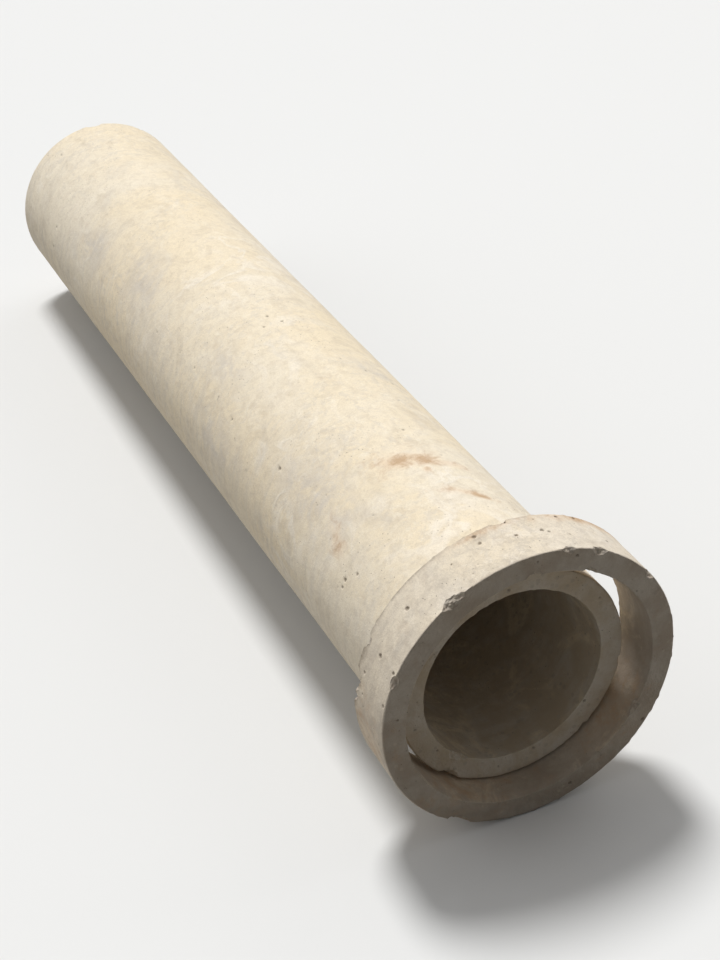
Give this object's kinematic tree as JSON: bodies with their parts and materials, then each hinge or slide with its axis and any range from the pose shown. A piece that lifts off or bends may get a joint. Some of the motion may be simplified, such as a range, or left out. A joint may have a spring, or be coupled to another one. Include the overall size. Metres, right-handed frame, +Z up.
{
  "type": "concrete culvert pipe",
  "caption": "Plain-ended straight concrete drainage pipe lying with a loose concrete collar ring on one end, which joins it to the next pipe.",
  "frame": {"origin": "on the floor, below the middle of the pair's box", "axes": "+X along the pipe from the collar to the free end, +Z up from the floor the pair lies on"},
  "size_m": [2.0604, 0.492, 0.492],
  "materials": {
    "pipe_concrete": "matte cast cement, pale cream, mottled",
    "collar_concrete": "matte cast cement, warm grey, pitted"
  },
  "bodies": {
    "root": {"pipe": "pipe_concrete", "collar": "collar_concrete"}
  },
  "joints": []
}
